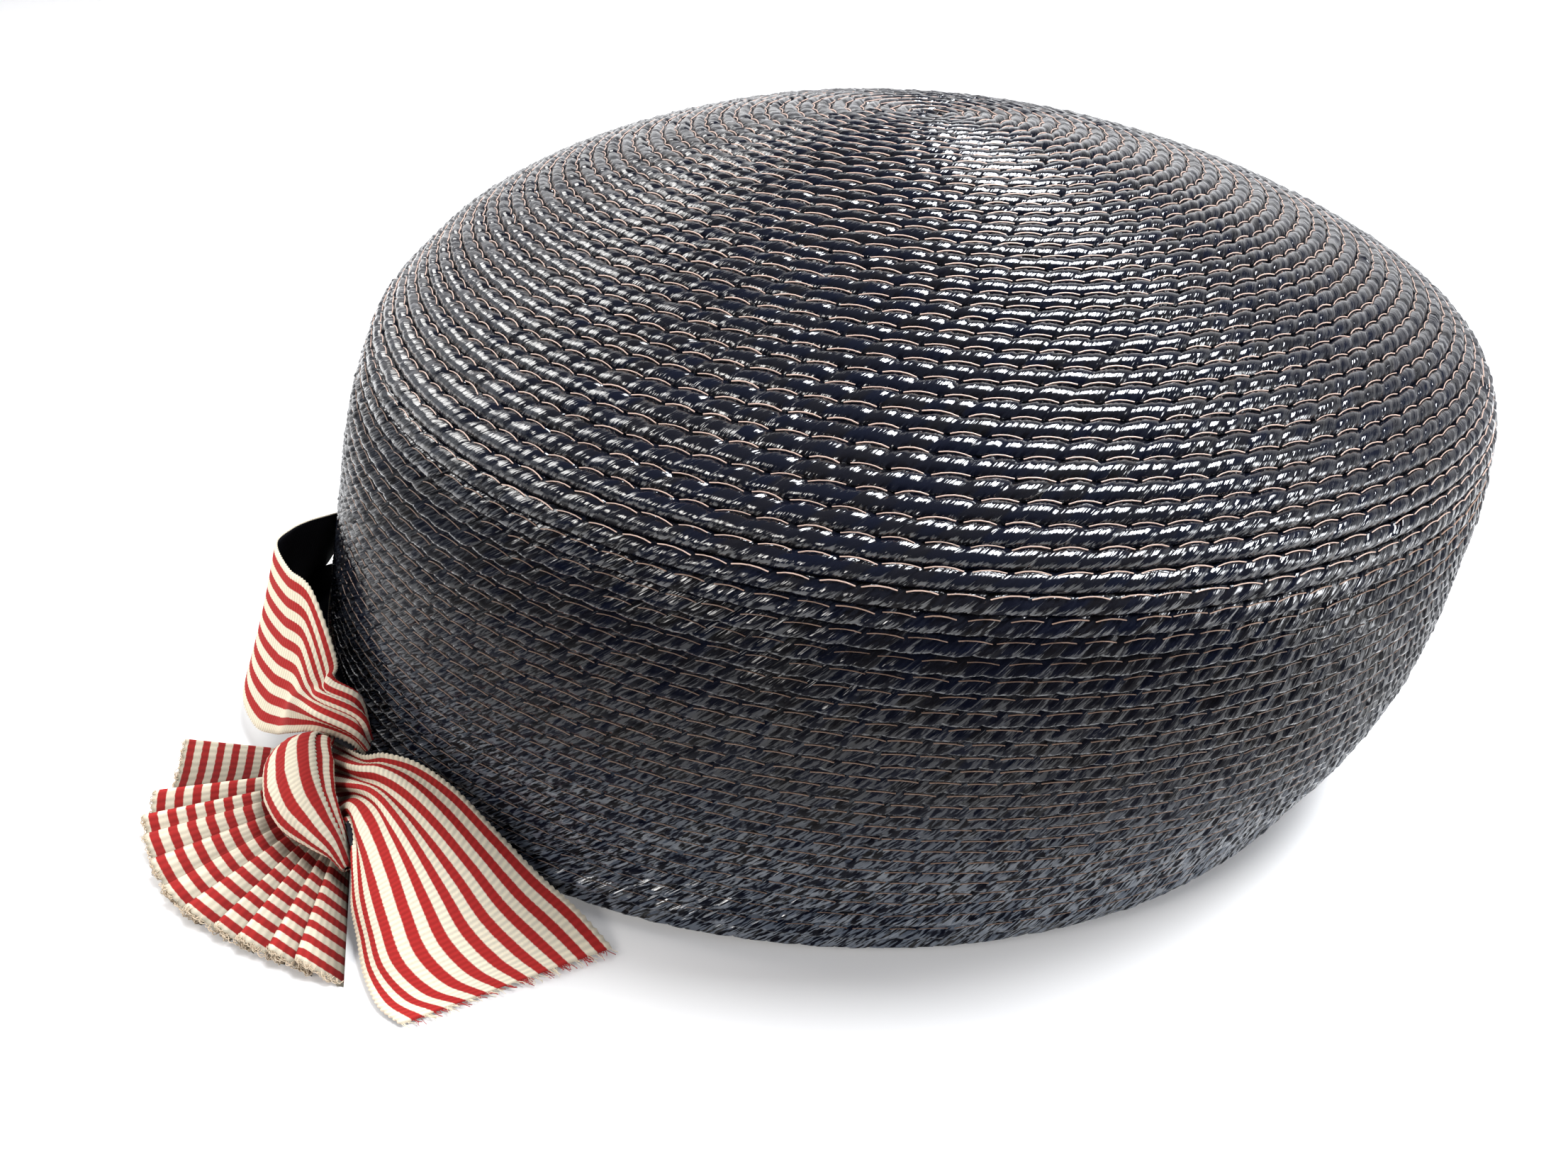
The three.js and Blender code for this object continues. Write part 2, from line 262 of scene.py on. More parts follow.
def threadTree():
    tree = bpy.data.node_groups.new("stitchArcs", "GeometryNodeTree")
    face = tree.interface
    face.new_socket("Geometry", in_out="INPUT", socket_type="NodeSocketGeometry")
    for label in ("Stitch Length", "Thread Radius", "Bulge"):
        face.new_socket(label, in_out="INPUT", socket_type="NodeSocketFloat")
    face.new_socket("Thread", in_out="INPUT", socket_type="NodeSocketMaterial")
    face.new_socket("Geometry", in_out="OUTPUT", socket_type="NodeSocketGeometry")
    nodes, link = tree.nodes, tree.links.new
    given = nodes.new("NodeGroupInput")
    made = nodes.new("NodeGroupOutput")
    half = nodes.new("ShaderNodeMath")
    half.operation = "MULTIPLY"
    half.inputs[1].default_value = 0.5
    link(given.outputs["Stitch Length"], half.inputs[0])
    minus = nodes.new("ShaderNodeMath")
    minus.operation = "MULTIPLY"
    minus.inputs[1].default_value = -1
    link(half.outputs[0], minus.inputs[0])
    start, middle, end = (nodes.new("ShaderNodeCombineXYZ") for _ in range(3))
    link(minus.outputs[0], start.inputs["X"])
    link(given.outputs["Bulge"], middle.inputs["Y"])
    link(half.outputs[0], end.inputs["X"])
    arc = nodes.new("GeometryNodeCurveQuadraticBezier")
    arc.inputs["Resolution"].default_value = 4
    link(start.outputs[0], arc.inputs["Start"])
    link(middle.outputs[0], arc.inputs["Middle"])
    link(end.outputs[0], arc.inputs["End"])
    ring = nodes.new("GeometryNodeCurvePrimitiveCircle")
    ring.inputs["Resolution"].default_value = 3
    link(given.outputs["Thread Radius"], ring.inputs["Radius"])
    tube = nodes.new("GeometryNodeCurveToMesh")
    tube.inputs["Fill Caps"].default_value = True
    link(arc.outputs["Curve"], tube.inputs["Curve"])
    link(ring.outputs["Curve"], tube.inputs["Profile Curve"])
    turn = nodes.new("GeometryNodeInputNamedAttribute")
    turn.data_type = "FLOAT_VECTOR"
    turn.inputs["Name"].default_value = "turn"
    size = nodes.new("GeometryNodeInputNamedAttribute")
    size.data_type = "FLOAT_VECTOR"
    size.inputs["Name"].default_value = "size"
    place = nodes.new("GeometryNodeInstanceOnPoints")
    link(given.outputs["Geometry"], place.inputs["Points"])
    link(tube.outputs["Mesh"], place.inputs["Instance"])
    link(turn.outputs["Attribute"], place.inputs["Rotation"])
    link(size.outputs["Attribute"], place.inputs["Scale"])
    real = nodes.new("GeometryNodeRealizeInstances")
    link(place.outputs["Instances"], real.inputs["Geometry"])
    paint = nodes.new("GeometryNodeSetMaterial")
    link(real.outputs["Geometry"], paint.inputs["Geometry"])
    link(given.outputs["Thread"], paint.inputs["Material"])
    link(paint.outputs["Geometry"], made.inputs["Geometry"])
    return tree


def eulerAngles(x, y, z):                   # XYZ Euler angles of frames whose axes are x, y and z
    pitch = np.arcsin(np.clip(-x[:, 2], -1, 1))
    roll = np.arctan2(y[:, 2], z[:, 2])
    yaw = np.arctan2(x[:, 1], x[:, 0])
    return np.stack([roll, pitch, yaw], 1)


def scatterArcs(name, points, x, y, z, sizes, values, material):
    mesh = bpy.data.meshes.new(name + "Places")
    mesh.vertices.add(len(points))
    mesh.vertices.foreach_set("co", ((points + hatShift) * mm).astype(np.float32).ravel())
    for key, column in (("turn", eulerAngles(x, y, z)), ("size", sizes)):
        mesh.attributes.new(key, "FLOAT_VECTOR", "POINT").data.foreach_set(
            "vector", column.astype(np.float32).ravel())
    seat = bpy.data.objects.new(name + "Places", mesh)
    bpy.context.scene.collection.objects.link(seat)
    tree = bpy.data.node_groups.get("stitchArcs") or threadTree()
    modifier = seat.modifiers.new("stitches", "NODES")
    modifier.node_group = tree
    sockets = {s.name: s.identifier for s in tree.interface.items_tree if s.in_out == "INPUT"}
    for label, value in values.items():
        modifier[sockets[label]] = value
    modifier[sockets["Thread"]] = material
    bpy.context.view_layer.update()
    graph = bpy.context.evaluated_depsgraph_get()
    real = bpy.data.meshes.new_from_object(seat.evaluated_get(graph), depsgraph=graph)
    bpy.data.objects.remove(seat)
    piece = bpy.data.objects.new(name, real)
    real.name = name
    real.shade_smooth()
    bpy.context.scene.collection.objects.link(piece)
    return piece


def makeThreads(cells, topMaterial, sideMaterial):
    dice = np.random.default_rng(threadShape["seed"])
    count = len(cells["start"]) // 2
    middle = cells["start"][::2] + crownShape["cellLength"] + dice.normal(0, 0.12, count)
    middle = middle + crownShape["cellSlant"] * 0.42
    slope = np.interp(middle, plaitLength, plaitTurns) * crownShape["rowWidth"]
    flat = sideShare(slope)
    point, down, around, out = plaitPoint(middle, 0.22 + 0.74 * flat)
    keep = slope < crownSlope[-1] - crownShape["lipWidth"] - 6
    point = point + out * (0.08 + 0.02 * flat)[:, None]
    sway = dice.normal(0, 0.05, count)[:, None]
    x = unit(around + down * sway)
    y = unit(-down + around * sway)
    y = unit(y + out * (0.35 - 0.2 * flat)[:, None])
    z = np.cross(x, y)
    bulge = (1.0 - 0.35 * flat) * dice.uniform(0.75, 1.1, count)
    thin = 1 - 0.4 * lowShare(slope)
    bulge = bulge * thin
    sizes = np.stack([dice.uniform(0.86, 1.08, count), bulge, (0.8 + 0.3 * flat) * thin], 1)
    values = {
        "Stitch Length": threadShape["length"] * mm,
        "Thread Radius": threadShape["radius"] * mm,
        "Bulge": threadShape["bulge"] * mm,
    }
    made = []
    for name, material, chosen in (("crown_stitches", topMaterial, keep & (flat < 0.5)),
                                   ("side_stitches", sideMaterial, keep & (flat >= 0.5))):
        parts = (a[chosen] for a in (point, x, y, z, sizes))
        made.append(scatterArcs(name, *parts, values, material))
    return made


# the ribbon: striped grosgrain on its face and navy on its back

ribbonShape = {
    "width": 38.0,
    "thickness": 0.55,
    "ribPitch": 1.0,
    "ribHeight": 0.05,
    "scallop": 0.16,
    "stripeStart": 1.8,         # cream selvedge before the first red stripe
    "stripePitch": 3.7,
    "stripeWidth": 1.85,
    "acrossSteps": 36,
}


def spread(rows, places, t, v):             # a smooth surface through rows of points, each at its place
    rows = np.asarray(rows, float)
    index = np.arange(len(rows))
    columns = [[smoothThrough(index, rows[:, m, k], t) for k in range(3)] for m in range(rows.shape[1])]
    columns = np.array(columns)             # place, axis, t
    grid = np.empty((len(t), len(v), 3))
    for i in range(len(t)):
        for k in range(3):
            grid[i, :, k] = smoothThrough(places, columns[:, k, i], v)
    return grid


def curveThrough(points, at):               # a smooth curve through points, by their index
    index = np.arange(len(points))
    return np.stack([smoothThrough(index, points[:, k], at) for k in range(3)], 1)


def gridNormals(grid):
    along = np.gradient(grid, axis=0)
    across = np.gradient(grid, axis=1)
    return unit(np.cross(along, across))


def evenStations(surface, spacing):         # stations along a ribbon at even steps of its own length
    t = np.linspace(0, 1, 400)
    middle = surface(t, np.array([0.25, 0.5, 0.75])).mean(1)
    length = np.concatenate([[0], np.cumsum(np.linalg.norm(np.diff(middle, axis=0), axis=1))])
    count = max(4, int(length[-1] / spacing))
    even = np.linspace(0, length[-1], count + 1)
    return np.interp(even, length, t), even


def ribbonSheet(name, surface, faces, shown, shading, stations=3):
    # a closed thin sheet over surface(t, v), ribbed across; faces=-1 turns the striped face to the
    # other side, and shown is the width of stripes that isn't folded away
    shape = ribbonShape
    t, length = evenStations(surface, shape["ribPitch"] / stations)
    v = np.linspace(0, 1, shape["acrossSteps"] + 1)
    grid = surface(t, v)
    normal = gridNormals(grid) * faces
    side = unit(np.gradient(grid, axis=1))
    rib = np.cos(2 * np.pi * length / shape["ribPitch"])
    edge = np.clip((np.abs(v - 0.5) - 0.485) / 0.015, 0, 1)
    push = (rib[:, None] * edge[None, :] * shape["scallop"] * np.sign(v - 0.5)[None, :])[..., None]
    grid = grid + side * push
    half = shape["thickness"] / 2 * (1 - 0.35 * edge)[None, :] + shape["ribHeight"] * rib[:, None]
    half = half[..., None]
    front = grid + normal * half
    back = grid - normal * half
    ring = np.concatenate([front, back[:, ::-1]], 1)
    rows, width = ring.shape[:2]
    k = np.arange(width)
    a = (np.arange(rows - 1)[:, None] * width + k[None, :]).ravel()
    b = (np.arange(rows - 1)[:, None] * width + ((k + 1) % width)[None, :]).ravel()
    quads = np.stack([a, a + width, b + width, b], 1)
    reverse = np.tile((k >= len(v)) & (k < width - 1), rows - 1)
    inner = np.arange(len(v) - 1)
    cap = np.stack([inner, inner + 1, width - 2 - inner, width - 1 - inner], 1)
    quads = np.vstack([quads, cap, (cap + (rows - 1) * width)[:, ::-1]])
    reverse = np.concatenate([reverse, np.zeros(2 * len(cap), bool)])
    if faces < 0:
        quads = quads[:, ::-1]
    places = np.concatenate([v, v[::-1]])
    uv = np.stack([np.broadcast_to(length[:, None], (rows, width)),
                   np.broadcast_to(places[None, :] * shown, (rows, width))], -1)
    # painted shade of the folds, kept on the points as the attribute shade
    shade = shading(t, v)
    shade = np.clip(np.concatenate([shade, shade[:, ::-1]], 1), 0.1, 1)
    if name.startswith("pleated"):          # only its striped face shows
        reverse[:] = False
    piece = meshPiece(name, ring, quads, [ribbonFace, ribbonBack], faceMaterial=reverse, uv=uv,
                      fields={"shade": shade})
    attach(piece, "root")
    print(name, "length", round(length[-1], 1), "faces", len(quads))
    return piece, length[-1]


# rows of points from the lower to the upper selvedge, depth of the gathers, depth of the belly
loopRows = [
    ([(-93, -95, 16), (-92, -94.8, 18), (-91.8, -94.3, 19.2),
      (-92.3, -93.5, 19.7), (-93.3, -92, 19.8)], 0.5, 0),
    ([(-95.7, -95.5, 19.2), (-93.8, -96, 22.8), (-93, -95.5, 25.6),
      (-93.5, -93.5, 26.7), (-95.7, -90, 26.3)], 0.7, 0),
    ([(-102.7, -94.5, 19.8), (-101.3, -95, 24.8), (-100.5, -94.5, 27.6),
      (-100.8, -92, 28.3), (-100.8, -88, 28)], 0.7, 0),
    ([(-110.3, -92, 16.3), (-109.6, -89, 21.6), (-107.3, -87, 24.2),
      (-105.1, -85.5, 26.4), (-101.8, -84.5, 30.3)], 0.3, 0),
    ([(-118.5, -84.3, 9), (-109, -77.5, 40.7)], 0, 1.2),
    ([(-126.5, -78.5, 5.4), (-117, -71.5, 41.2)], 0, 1.5),
    ([(-134.4, -69, 5.4), (-124.4, -62.5, 41.2)], 0, 0.5),
    ([(-139, -55, 6.5), (-124.6, -56, 41.2)], 0, 0),
    ([(-140, -42, 8.5), (-122.8, -51.5, 41.2)], 0, 0),
    ([(-138.6, -31, 11), (-120.6, -46.5, 40.4)], 0, 0),
    ([(-137.4, -23.5, 12.4), (-122.2, -39.5, 37.4)], 0, 0),
    ([(-137.8, -16, 13.6), (-125.2, -31, 34)], 0, 0),
]
backTailRows = [
    ([(-101, -85, 6), (-100, -84, 10), (-99, -83, 14)], 0.4, 0),
    ([(-113, -76, 3), (-110, -74.5, 9), (-106.9, -73.2, 15)], 0.4, 0),
    ([(-127, -62, 2), (-124.6, -59.5, 11), (-118.6, -57.4, 17)], 0.3, 0),
    ([(-134, -48, 2), (-132.4, -46, 12.5), (-125.6, -43.6, 16.5)], 0.2, 0),
    ([(-137.5, -34, 2), (-137, -33, 13), (-129.8, -34, 15.5)], 0, 0),
    ([(-139, -25, 2), (-138.6, -25, 12), (-134.4, -25, 14)], 0, 0),
]


def bandSurface(band, folds=3):
    rows = []
    for points, _, _ in band:
        points = np.array(points, float)
        five = np.linspace(0, 1, 5)
        own = np.linspace(0, 1, len(points))
        rows.append(np.stack([np.interp(five, own, points[:, k]) for k in range(3)], 1))
    gather = np.array([row[1] for row in band], float)
    belly = np.array([row[2] for row in band], float)
    index = np.arange(len(band))

    def surface(t, v):
        at = t * (len(band) - 1)
        grid = spread(rows, np.linspace(0, 1, 5), at, v)
        wave = np.interp(at, index, gather)[:, None] * np.sin(2 * np.pi * folds * v)[None, :]
        wave = wave + np.interp(at, index, belly)[:, None] * np.sin(np.pi * v)[None, :]
        return grid + gridNormals(grid) * wave[..., None]

    return surface


# from the left selvedge over the soft ridge to the right one, row by row from the knot to the cut end
tailRows = [
    [(-92.2, -107.5, 9.5), (-93.2, -105.5, 9.6), (-94.6, -103.6, 10.2),
     (-99.0, -97.2, 12.8), (-101.5, -91.5, 15.6)],
    [(-87.8, -112, 14.8), (-88.4, -110.2, 15.6), (-88.4, -108.6, 16.6),
     (-89.8, -104.4, 18.4), (-91, -99.5, 20)],
    [(-84.8, -117, 13.6), (-84.4, -115.4, 15.4), (-83.6, -112.8, 17.4),
     (-84.0, -107, 19.8), (-86, -99.8, 21.5)],
    [(-84.0, -120.2, 9.8), (-81.0, -119.8, 14.6), (-78.8, -118.2, 16.6),
     (-78.0, -110.4, 19.2), (-79, -100.6, 21)],
    [(-83.2, -123.4, 6.0), (-77.4, -124.8, 12.6), (-74.6, -123.2, 14.4),
     (-71.2, -114.8, 17.0), (-70.5, -104, 19)],
    [(-80.4, -127.8, 3.2), (-73.8, -129.4, 9.6), (-70.8, -127.8, 11.2),
     (-64.0, -119.4, 13.2), (-61.4, -108.7, 15)],
    [(-76.6, -133.8, 1.6), (-69.8, -133.8, 6.0), (-66.6, -132.0, 7.0),
     (-58.0, -122.4, 7.8), (-53, -111.2, 8.5)],
    [(-71.6, -139.4, 1.2), (-64.0, -136.0, 2.8), (-61.2, -133.8, 3.2),
     (-51.6, -124.6, 3.6), (-45, -113.7, 3.8)],
    [(-66.4, -142, 0.9), (-58.4, -135.7, 1.0), (-55.8, -133.6, 1.0),
     (-46.4, -126.2, 1.1), (-37, -118.8, 1)],
]
tailPlaces = [0.0, 0.27, 0.36, 0.68, 1.0]
tailGather = [0.5, 1.0, 1.0, 0.6, 0.2, 0.0, 0.0, 0.0, 0.0]


def tailSurface(t, v):
    at = t * (len(tailRows) - 1)
    grid = spread(tailRows, tailPlaces, at, v)
    depth = np.interp(at, np.arange(len(tailRows)), tailGather)
    wave = depth[:, None] * np.sin(2 * np.pi * 4 * v)[None, :] * (0.6 + 0.4 * v)[None, :]
    return grid + gridNormals(grid) * wave[..., None]


# the knot: the ribbon rolled round on itself, its two selvedges meeting at the right
# centre, half width, half depth
knotSections = [
    ((-103.8, -94.6, 16.6), 6.0, 1.2), ((-104.0, -99, 17.2), 7.8, 2.8),
    ((-101.0, -104.5, 15.9), 8.0, 3.6), ((-97.4, -109, 14.5), 6.6, 3.2),
    ((-92.7, -112.6, 13), 4.3, 2.4), ((-88.6, -115.3, 11.3), 2.3, 1.5),
    ((-85.9, -117.6, 9.2), 0.9, 0.7),
]
knotOutward = unit(np.array([-0.35, -0.65, 0.67]))


def knotSurface(t, v):
    index = np.arange(len(knotSections))
    at = t * (len(knotSections) - 1)
    centres = np.array([row[0] for row in knotSections])
    path = curveThrough(centres, at)
    ahead = curveThrough(centres, np.minimum(at + 0.05, len(index) - 1.001))
    behind = curveThrough(centres, np.maximum(at - 0.05, 0))
    along = unit(ahead - behind)
    across = unit(np.cross(knotOutward, along))
    face = np.cross(along, across)
    wide = np.interp(at, index, [row[1] for row in knotSections])[:, None]
    deep = np.interp(at, index, [row[2] for row in knotSections])[:, None]
    angle = (0.80 * np.pi - 2.12 * np.pi * (1 - v))[None, :]
    layer = 0.3 + 0.55 * np.cos(np.pi * (1 - v))[None, :]
    rib = 0.16 * np.sin(angle * 9 + 2.5 * at[:, None])
    return (path[:, None, :] - across[:, None, :] * ((wide - 0.4 + layer) * np.cos(angle))[..., None]
            + face[:, None, :] * ((deep - 0.1 + layer + rib) * np.sin(angle))[..., None])


# the fan: the ribbon laid in knife pleats, its inner selvedge under the knot
fanSections = [
    ((-99.2, -92.6, 13), (-134.6, -89.4, 8)), ((-99, -94.5, 12), (-133.4, -97.5, 5)),
    ((-98.5, -97, 11), (-132.7, -107.5, 2.3)), ((-97.5, -99.5, 10), (-125.8, -117.2, 2.2)),
    ((-96.5, -101.5, 9), (-115.8, -125.8, 2.2)), ((-95, -103.5, 8.5), (-103.2, -131, 2.2)),
    ((-93, -105.5, 8), (-91.7, -134, 2.2)), ((-91, -107, 7.5), (-79.5, -136.5, 2.2)),
]
fanShape = {
    "pleats": 11,
    "firstFace": 0.235,         # the first face's share of the way round
    "rise": 5.0,                # height of a ridge over a valley
    "lap": 0.16,                # how far a ridge hangs over, as a share of a pleat
    "girth": 140,               # length round the fan's outer edge
    "seed": 8,
}


def fanFolds():                             # place and height of each fold, and its share of the length
    dice = np.random.default_rng(fanShape["seed"])
    pleats = fanShape["pleats"]
    # a ridge, the long face down to a valley, and back under
    width = (1 - fanShape["firstFace"]) / (pleats - 1)
    folds = [(0.0, 0.15)]
    for p in range(pleats - 1):
        place = fanShape["firstFace"] + (p + 0.10 * dice.normal()) * width
        folds.append((place + fanShape["lap"] * width, -0.5))
        folds.append((place - fanShape["lap"] * width, 0.5 * dice.uniform(0.75, 1.15)))
    folds.append((1.0, -0.5))
    folds = np.array(folds)
    step = (np.abs(np.diff(folds[:, 0])) * fanShape["girth"]
            + np.abs(np.diff(folds[:, 1])) * fanShape["rise"] + 0.5)
    length = np.concatenate([[0], np.cumsum(step)])
    return folds, length / length[-1]


def fanSurface(t, v):                       # t runs round the pleats, v out from the knot
    folds, length = fanFolds()
    share = np.interp(t, length, folds[:, 0])
    height = np.interp(t, length, folds[:, 1])
    soft = 0.006                            # rounds the folds a little
    near = [np.interp(np.clip(t + d, 0, 1), length, folds[:, 1]) for d in (-soft, soft)]
    height = (2 * height + near[0] + near[1]) / 4
    edges = [np.array([row[k] for row in fanSections], float) for k in (0, 1)]
    at = np.clip(share, 0, 1) * (len(fanSections) - 1)
    start, end = (curveThrough(edge, at) for edge in edges)
    later = curveThrough(edges[1], np.minimum(at + 0.1, 6.999))
    sooner = curveThrough(edges[1], np.maximum(at - 0.1, 0))
    run = end - start
    up = unit(np.cross(run, later - sooner))
    depth = fanShape["rise"] * height[:, None] * (0.25 + 0.75 * v)[None, :]
    return start[:, None, :] + run[:, None, :] * v[None, :, None] + up[:, None, :] * depth[..., None]


# painted shade: how dark the cloth is painted in its folds, creases and gathers and under the knot, from
# 0 to 1

def fanShade(t, v):
    folds, length = fanFolds()
    height = np.clip(np.interp(t, length, folds[:, 1]) + 0.5, 0, 1)
    return 0.88 * (0.18 + 0.82 * height)[:, None] * (0.38 + 0.62 * np.sin(np.pi / 2 * v))[None, :]


def tailShade(t, v):
    gather = np.sin(2 * np.pi * 4 * v)[None, :] * np.exp(-((t / 0.25) ** 2))[:, None]
    return 1 - 0.55 * np.exp(-((t / 0.16) ** 2))[:, None] + 0.16 * gather * np.ones_like(v)[None, :]


def knotShade(t, v):
    return (1 - 0.5 * np.abs(2 * v - 1) ** 3)[None, :] * (1 - 0.35 * t**3)[:, None]


def loopShade(t, v):
    crease = np.exp(-(((t - 0.27) / 0.05) ** 2))[:, None]
    return 1 - 0.3 * crease - 0.18 * np.clip((0.3 - t) / 0.3, 0, 1)[:, None] + 0 * v[None, :]


# the back tail lies behind the loop and is painted evenly darker: painted shade
def plainShade(t, v):
    return np.full((len(t), len(v)), 0.8)


# materials

def nodeOf(tree, kind, **settings):
    node = tree.nodes.new(kind)
    for key, value in settings.items():
        setattr(node, key, value)
    return node


def newMaterial(name):
    material = bpy.data.materials.new(name)
    material.use_nodes = True
    tree = material.node_tree
    shader = tree.nodes["Principled BSDF"]
    return material, tree, shader


strawLook = {
    "dark": (0.0034, 0.0044, 0.0100, 1),
    "warm": (0.0066, 0.0060, 0.0066, 1),
    # painted reflection: the table's blue-grey reflection, mixed into the low rows' colour in specks
    "paintedReflection": (0.105, 0.122, 0.150, 1),
    "smooth": 0.09,
    "dull": 0.24,
}


def strawMaterial():
    material, tree, shader = newMaterial("navyStraw")
    link = tree.links.new
    uv = nodeOf(tree, "ShaderNodeUVMap", uv_map="UVMap")
    tone = nodeOf(tree, "ShaderNodeAttribute", attribute_name="cellTone")
    stretch = nodeOf(tree, "ShaderNodeMapping")
    stretch.inputs["Scale"].default_value = (6, 0.8, 1)
    link(uv.outputs["UV"], stretch.inputs["Vector"])
    streaks = nodeOf(tree, "ShaderNodeTexNoise")
    streaks.inputs["Scale"].default_value = 1.0
    streaks.inputs["Detail"].default_value = 1.5
    link(stretch.outputs[0], streaks.inputs["Vector"])
    colour = nodeOf(tree, "ShaderNodeMix", data_type="RGBA")
    colour.inputs["A"].default_value = strawLook["dark"]
    colour.inputs["B"].default_value = strawLook["warm"]
    link(tone.outputs["Fac"], colour.inputs["Factor"])
    fine = nodeOf(tree, "ShaderNodeMapping")
    fine.inputs["Scale"].default_value = (4.6, 2.1, 1)
    link(uv.outputs["UV"], fine.inputs["Vector"])
    specks = nodeOf(tree, "ShaderNodeTexNoise")
    specks.inputs["Scale"].default_value = 1.0
    specks.inputs["Detail"].default_value = 2.5
    link(fine.outputs[0], specks.inputs["Vector"])
    spared = nodeOf(tree, "ShaderNodeMapRange")
    spared.inputs["From Min"].default_value = 0.47
    spared.inputs["From Max"].default_value = 0.55
    link(specks.outputs["Fac"], spared.inputs["Value"])
    # painted reflection of the pale table, laid into the base colour of the low rows through the specks
    paintedReflection = nodeOf(tree, "ShaderNodeAttribute", attribute_name="paintedReflection")
    reflectionSpecks = nodeOf(tree, "ShaderNodeMath", operation="MULTIPLY")
    link(paintedReflection.outputs["Fac"], reflectionSpecks.inputs[0])
    link(spared.outputs[0], reflectionSpecks.inputs[1])
    reflectionTint = nodeOf(tree, "ShaderNodeMix", data_type="RGBA")
    reflectionTint.inputs["B"].default_value = strawLook["paintedReflection"]
    link(colour.outputs["Result"], reflectionTint.inputs["A"])
    link(reflectionSpecks.outputs[0], reflectionTint.inputs["Factor"])
    link(reflectionTint.outputs["Result"], shader.inputs["Base Color"])
    rough = nodeOf(tree, "ShaderNodeMapRange")
    rough.inputs["To Min"].default_value = strawLook["smooth"]
    rough.inputs["To Max"].default_value = strawLook["dull"]
    blend = nodeOf(tree, "ShaderNodeMath", operation="MULTIPLY_ADD")
    blend.inputs[1].default_value = 0.6
    link(tone.outputs["Fac"], blend.inputs[0])
    link(streaks.outputs["Fac"], blend.inputs[2])
    rough.inputs["From Min"].default_value = 0.3
    rough.inputs["From Max"].default_value = 1.3
    link(blend.outputs[0], rough.inputs["Value"])
    link(rough.outputs[0], shader.inputs["Roughness"])
    bump = nodeOf(tree, "ShaderNodeBump")
    bump.inputs["Strength"].default_value = 0.6
    bump.inputs["Distance"].default_value = 0.0002
    link(streaks.outputs["Fac"], bump.inputs["Height"])
    link(bump.outputs["Normal"], shader.inputs["Normal"])
    gloss = nodeOf(tree, "ShaderNodeAttribute", attribute_name="gloss")
    flecks = nodeOf(tree, "ShaderNodeMapRange")
    flecks.inputs["To Min"].default_value = 0.02
    flecks.inputs["To Max"].default_value = 2.4
    link(spared.outputs[0], flecks.inputs["Value"])
    body = nodeOf(tree, "ShaderNodeMath", operation="MULTIPLY")
    link(gloss.outputs["Fac"], body.inputs[0])
    link(flecks.outputs[0], body.inputs[1])
    lip = nodeOf(tree, "ShaderNodeMath", operation="MULTIPLY_ADD")
    lip.inputs[1].default_value = 2.2
    lip.inputs[2].default_value = -1.2
    link(gloss.outputs["Fac"], lip.inputs[0])
    coat = nodeOf(tree, "ShaderNodeMath", operation="MAXIMUM", use_clamp=True)
    link(body.outputs[0], coat.inputs[0])
    link(lip.outputs[0], coat.inputs[1])
    link(coat.outputs[0], shader.inputs["Coat Weight"])
    shader.inputs["Coat Roughness"].default_value = 0.10
    shader.inputs["Coat IOR"].default_value = 1.7
    link(bump.outputs["Normal"], shader.inputs["Coat Normal"])
    shader.inputs["Specular IOR Level"].default_value = 0.04
    return material


def threadMaterial(name, colour, roughness):
    material, _, shader = newMaterial(name)
    shader.inputs["Base Color"].default_value = colour
    shader.inputs["Roughness"].default_value = roughness
    return material


ribbonLook = {
    "cream": (0.86, 0.76, 0.58, 1),
    "red": (0.43, 0.027, 0.024, 1),
    "back": (0.017, 0.016, 0.021, 1),
}
threadLook = {
    "top": (0.60, 0.42, 0.34, 1),
    # side: the same thread painted darker, painted shade for the stitches under the side rows' lips
    "side": (0.34, 0.215, 0.155, 1),
    "selvedge": (0.62, 0.50, 0.36, 1),
    "sewn": 0.4,                # roughness of the sewing thread
    "loose": 0.8,               # and of loose yarn
}


def chain(tree, *steps):                    # a row of maths nodes, each taking what the last one gives
    last = None
    for operation, first, second in steps:
        node = nodeOf(tree, "ShaderNodeMath", operation=operation)
        for socket, value in zip(node.inputs, (last if first is None else first, second)):
            if value is None:
                continue
            if isinstance(value, (int, float)):
                socket.default_value = value
            else:
                tree.links.new(value, socket)
        last = node.outputs[0]
    return last


